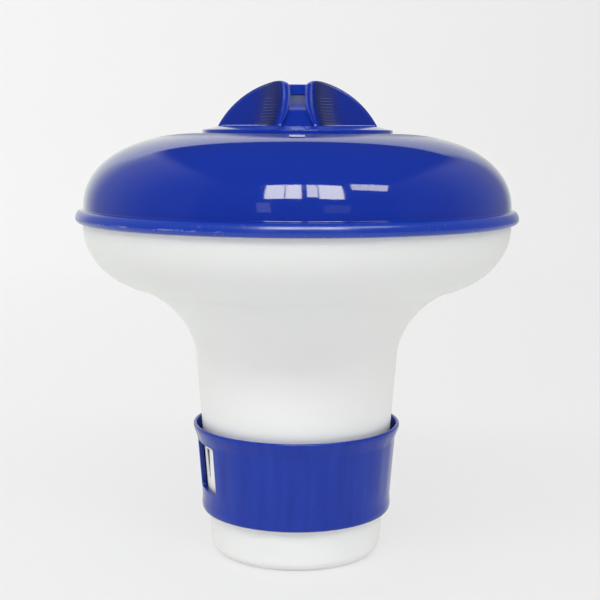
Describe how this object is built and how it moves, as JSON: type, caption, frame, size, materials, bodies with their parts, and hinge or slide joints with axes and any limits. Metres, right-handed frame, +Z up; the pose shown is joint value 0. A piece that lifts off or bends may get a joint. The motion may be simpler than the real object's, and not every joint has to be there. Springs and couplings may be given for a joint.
{
  "type": "floating chlorine dispenser",
  "caption": "Round pool float with a domed top and twist-off lid on a tapered tube; holds chlorine tablets and lets water in through side slits set by a turning ring",
  "frame": {"origin": "middle of the flat foot of the tablet tube", "axes": "+Z is up along the axis that all the round pieces share, +X runs along the lid's grip, and -Y faces the front, where the index tab is"},
  "size_m": [0.125, 0.125, 0.1354],
  "materials": {
    "white_shell": "white moulded polypropylene with a soft sheen",
    "dome_blue": "glossy royal blue moulded plastic",
    "lid_blue": "semi-gloss royal blue moulded plastic",
    "ring_blue": "satin royal blue moulded plastic with faint vertical draw marks",
    "seal_rubber": "black soft rubber"
  },
  "bodies": {
    "float": {"body_shell": "white_shell", "float_dome": "dome_blue", "rim_gasket": "seal_rubber", "neck_seal": "seal_rubber"},
    "lid_seal": {"lid_seal": "seal_rubber"},
    "lid": {"lid": "lid_blue"},
    "flow_ring": {"flow_ring": "ring_blue"}
  },
  "joints": [
    {"name": "lid_lift", "type": "slide", "parent": "float", "child": "lid_seal", "axis": [0, 0, 1], "range_m": [0, 0.06]},
    {"name": "lid_turn", "type": "hinge", "parent": "lid_seal", "child": "lid", "pos_m": [0, 0, 0.1206], "axis": [0, 0, 1], "range_deg": [-50, 0]},
    {"name": "flow_ring_turn", "type": "hinge", "parent": "float", "child": "flow_ring", "pos_m": [0, 0, 0.0125], "axis": [0, 0, 1], "continuous": true}
  ]
}
